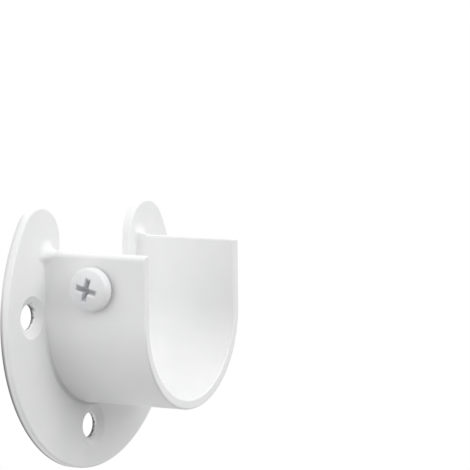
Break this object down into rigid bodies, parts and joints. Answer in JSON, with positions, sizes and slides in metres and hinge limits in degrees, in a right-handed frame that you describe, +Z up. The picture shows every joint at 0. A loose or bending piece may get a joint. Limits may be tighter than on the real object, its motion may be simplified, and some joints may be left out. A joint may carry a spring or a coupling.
{
  "type": "curtain pole bracket",
  "caption": "Open U-shaped socket that carries the end of a curtain pole, with a notched round wall plate, countersunk screw holes and a locking screw in the side wall.",
  "frame": {"origin": "centre of the round wall plate in the plane of the wall, on the axis of the pole", "axes": "+X to the right along the wall, +Y into the wall, +Z up; the pole lies along Y and leaves towards -Y"},
  "size_m": [0.0614, 0.0238, 0.0515],
  "materials": {
    "body_paint": "smooth white powder coat, semi-gloss",
    "screw_paint": "white paint over plated steel, grey in the cross recess"
  },
  "bodies": {
    "bracket": {"bracket_body": "body_paint"},
    "screw": {"locking_screw": "screw_paint"}
  },
  "joints": [
    {"name": "screw_advance", "type": "slide", "parent": "bracket", "child": "screw", "axis": [0.9989, 0, 0.0471], "range_m": [-0.0015, 0.0004]}
  ]
}
